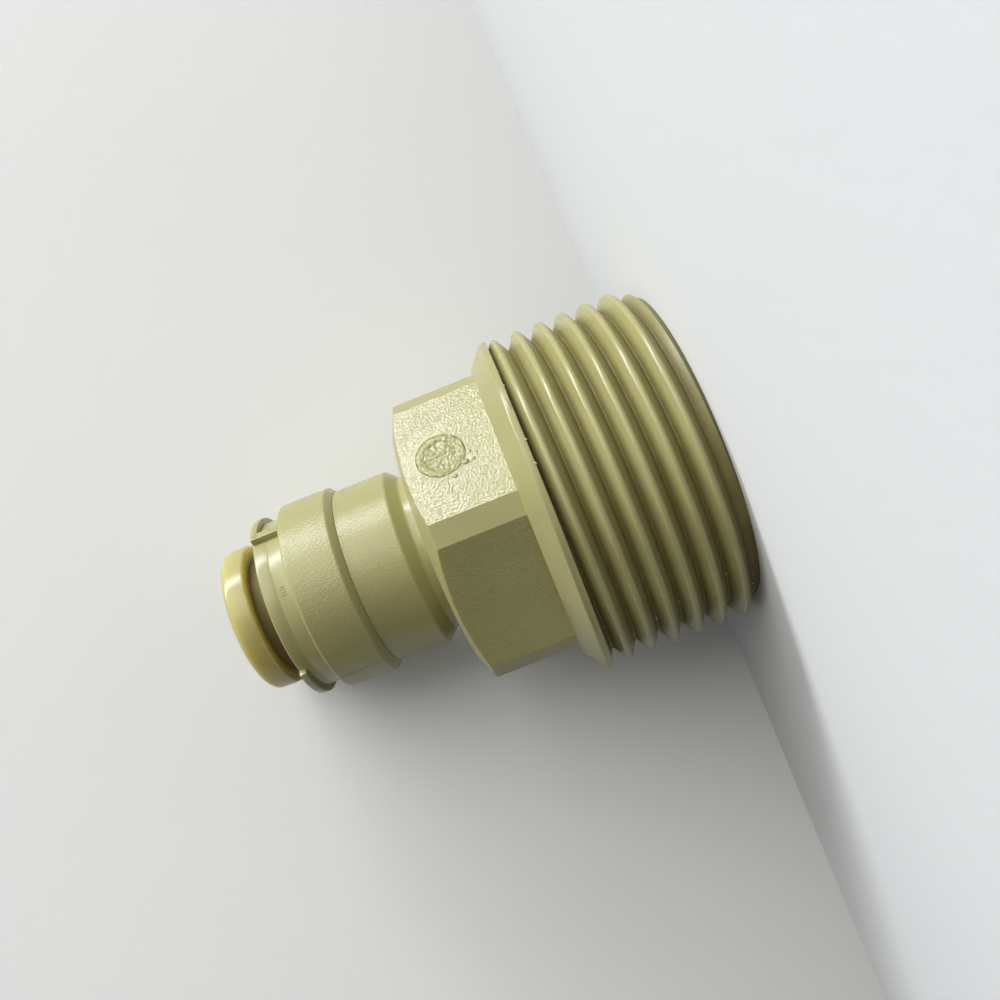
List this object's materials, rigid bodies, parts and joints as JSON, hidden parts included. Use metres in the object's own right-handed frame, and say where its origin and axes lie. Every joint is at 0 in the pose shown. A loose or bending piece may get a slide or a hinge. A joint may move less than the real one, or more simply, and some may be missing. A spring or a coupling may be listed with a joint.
{
  "type": "threaded tube connector",
  "caption": "Straight push-in tube connector: a collet socket for a tube at one end, a spanner hexagon, a sealing flange and a male pipe thread at the other.",
  "frame": {"origin": "centre of the thread's end face, which the part stands on", "axes": "+Z along the axis from the thread end to the collet; two corners of the hexagon point along +Y and -Y"},
  "size_m": [0.0266, 0.0266, 0.0366],
  "materials": {
    "acetal": "satin moulded acetal, beige grey",
    "collet_acetal": "satin moulded acetal, a little yellower",
    "steel": "stamped stainless steel",
    "seal_rubber": "black rubber"
  },
  "bodies": {
    "stem": {"body": "acetal", "end_cap": "acetal", "o_ring": "seal_rubber"},
    "release_collet": {"collet": "collet_acetal", "grip_tooth_1": "steel", "grip_tooth_2": "steel", "grip_tooth_3": "steel", "grip_tooth_4": "steel"}
  },
  "joints": [
    {"name": "collet_release", "type": "slide", "parent": "stem", "child": "release_collet", "axis": [0, 0, -1], "range_m": [0, 0.0014]}
  ]
}
